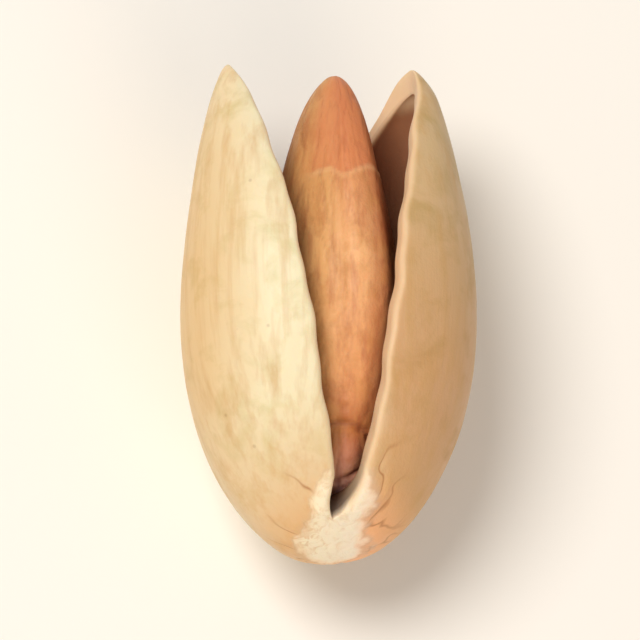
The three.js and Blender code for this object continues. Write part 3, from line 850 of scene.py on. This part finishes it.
relief_kept = add(form, "GeometryNodeInputNamedAttribute", {"Name": "relief"}, data_type="FLOAT")
relief_push = add(
    form, "ShaderNodeVectorMath", {0: add(form, "GeometryNodeInputNormal"), "Scale": relief_kept},
    operation="SCALE")
wrinkled = add(form, "GeometryNodeSetPosition", {"Geometry": drawn_out, "Offset": relief_push})
in_place = add(
    form, "GeometryNodeTransform",
    {"Geometry": wrinkled, "Translation": (given, "Start"), "Scale": (MM, MM, MM)})
real = add(form, "GeometryNodeRealizeInstances", {0: in_place})
smooth = add(form, "GeometryNodeSetShadeSmooth", {0: real})
finished = add(form, "GeometryNodeSetMaterial", {"Geometry": smooth, "Material": (given, "Skin")})
add(form, "NodeGroupOutput", {0: finished})

kernel = bpy.data.objects.new("pistachio_kernel", bpy.data.meshes.new("kernel_seed"))
bpy.context.scene.collection.objects.link(kernel)
kernel_axis = shell_low.z - ground * MM
grow(kernel, form, {**kernel_sizes, "Skin": kernel_skin,
                    "Start": (0.0, kernel_low.y - BASE_REACH * MM, kernel_axis)})
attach(kernel, "root")
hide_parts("kernel")

# ------------------------------------------------------------ studio
# A plain pale table top, a broad soft light from the upper left, a weaker warm one from the lower right, and
# a pale room. A long lens, half a metre off, looks down on the nut.

TABLE_HALF = 1.5
CAMERA_AZIMUTH = math.radians(-44)
CAMERA_ELEVATION = math.radians(71.2)
CAMERA_LEAN = math.radians(43.9)
CAMERA_DISTANCE = 0.495
AIM_HEIGHT = 5.2 * MM

table_mesh = bpy.data.meshes.new("table_top")
table_corners = [(x * TABLE_HALF, y * TABLE_HALF, 0) for x, y in ((-1, -1), (1, -1), (1, 1), (-1, 1))]
table_mesh.from_pydata(table_corners, [], [(0, 1, 2, 3)])
table = bpy.data.objects.new("table_top", table_mesh)
bpy.context.scene.collection.objects.link(table)

# Matte white laminate, very slightly uneven in tone.
laminate = bpy.data.materials.new("matte_white_laminate")
laminate.use_nodes = True
finish = laminate.node_tree
finish.nodes.clear()
where = add(finish, "ShaderNodeTexCoord")
tone = add(finish, "ShaderNodeTexNoise", {"Vector": (where, "Object"), "Scale": 1 / 0.05, "Detail": 2.0})
pale = add(finish, "ShaderNodeMix", {0: tone, 6: linear("#f6f5f3"), 7: linear("#faf9f8")}, data_type="RGBA")
laminate_surface = add(finish, "ShaderNodeBsdfPrincipled", {"Base Color": (pale, 2), "Roughness": 0.7})
add(finish, "ShaderNodeOutputMaterial", {"Surface": laminate_surface})
table_mesh.materials.append(laminate)

toward_camera = Vector((
    math.sin(CAMERA_AZIMUTH) * math.cos(CAMERA_ELEVATION),
    -math.cos(CAMERA_AZIMUTH) * math.cos(CAMERA_ELEVATION),
    math.sin(CAMERA_ELEVATION)))
level = Vector((math.cos(CAMERA_AZIMUTH), math.sin(CAMERA_AZIMUTH), 0))
upright = toward_camera.cross(level)
camera_right = level * math.cos(CAMERA_LEAN) + upright * math.sin(CAMERA_LEAN)
camera_up = upright * math.cos(CAMERA_LEAN) - level * math.sin(CAMERA_LEAN)
aim = Vector((0, 0, AIM_HEIGHT))

camera_data = bpy.data.cameras.new("camera")
camera_data.lens = 700
camera_data.sensor_width = 36
camera_data.clip_start = 0.01
camera_data.clip_end = 5
camera = bpy.data.objects.new("camera", camera_data)
place = aim + toward_camera * CAMERA_DISTANCE
camera.matrix_world = Matrix((
    (camera_right.x, camera_up.x, toward_camera.x, place.x),
    (camera_right.y, camera_up.y, toward_camera.y, place.y),
    (camera_right.z, camera_up.z, toward_camera.z, place.z),
    (0, 0, 0, 1),
))
bpy.context.scene.collection.objects.link(camera)
bpy.context.scene.camera = camera

for name, side, up, front, distance, size, power, tint in (
    ("window_light", -0.28, 0.4, 0.87, 0.5, 0.24, 1.75, "#fff8ee"),
    ("front_fill", 0.3, -0.62, 0.72, 0.6, 0.4, 1.0, "#ffe9d0"),
):
    light_data = bpy.data.lights.new(name, "AREA")
    light_data.shape = "DISK"
    light_data.size = size
    light_data.energy = power
    light_data.color = linear(tint)[:3]
    light = bpy.data.objects.new(name, light_data)
    heading = (camera_right * side + camera_up * up + toward_camera * front).normalized()
    light.location = aim + heading * distance
    light.rotation_euler = heading.to_track_quat("Z", "Y").to_euler()
    bpy.context.scene.collection.objects.link(light)

room = bpy.data.worlds.new("pale_room")
room.use_nodes = True
room.node_tree.nodes["Background"].inputs["Color"].default_value = linear("#f6f2ea")
room.node_tree.nodes["Background"].inputs["Strength"].default_value = 0.4
bpy.context.scene.world = room
bpy.context.scene.view_settings.view_transform = "Standard"
